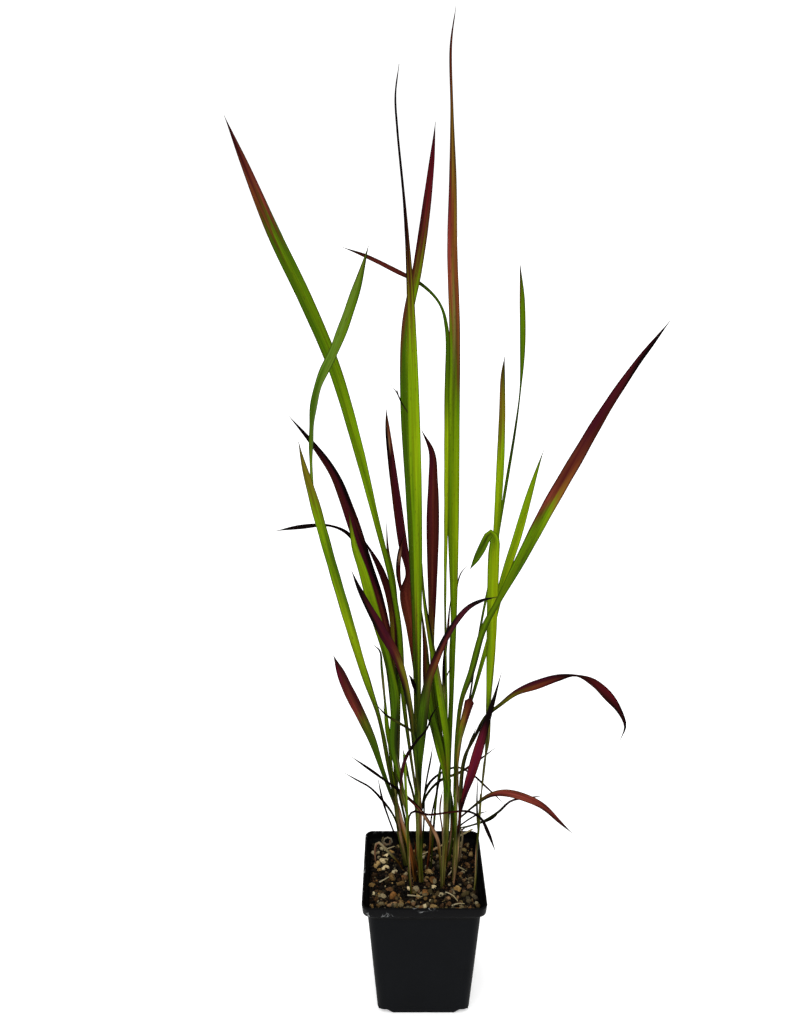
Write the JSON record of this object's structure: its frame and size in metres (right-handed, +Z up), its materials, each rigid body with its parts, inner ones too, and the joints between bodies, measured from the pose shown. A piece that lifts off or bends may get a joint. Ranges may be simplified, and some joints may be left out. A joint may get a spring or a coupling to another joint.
{
  "type": "potted blood grass",
  "caption": "Clump of upright ornamental grass with green and wine-red blades, rooted in gritty soil in a square plastic nursery pot.",
  "frame": {"origin": "on the ground, under the middle of the square pot", "axes": "+Z up along the pot's axis, +X to the right and -Y towards the front of the clump, both square to the pot's sides"},
  "size_m": [0.2739, 0.208, 0.699],
  "materials": {
    "pot_plastic": "moulded black plastic, slightly glossy, scuffed on the lip",
    "potting_soil": "dark, crumbly, damp soil with grit",
    "leaf_green": "satin, finely ribbed along the blade",
    "leaf_red": "satin, finely ribbed along the blade",
    "straw": "dry and matt"
  },
  "bodies": {
    "root": {"pot": "pot_plastic", "soil": "potting_soil", "shoot_left": "leaf_green", "shoot_front_left": "leaf_green", "shoot_centre": "leaf_green", "shoot_right_centre": "leaf_green", "shoot_right": "leaf_green", "shoot_far_right": "leaf_green", "shoot_left_back_red": "leaf_red", "shoot_centre_front_red": "leaf_red", "shoot_centre_back_red": "leaf_red", "shoot_right_centre_back_red": "leaf_red", "shoot_right_front_red": "leaf_red", "dead_leaf_long": "straw", "dead_sheath": "straw", "dead_leaf_folded": "straw", "straw_stalk": "straw"}
  },
  "joints": []
}
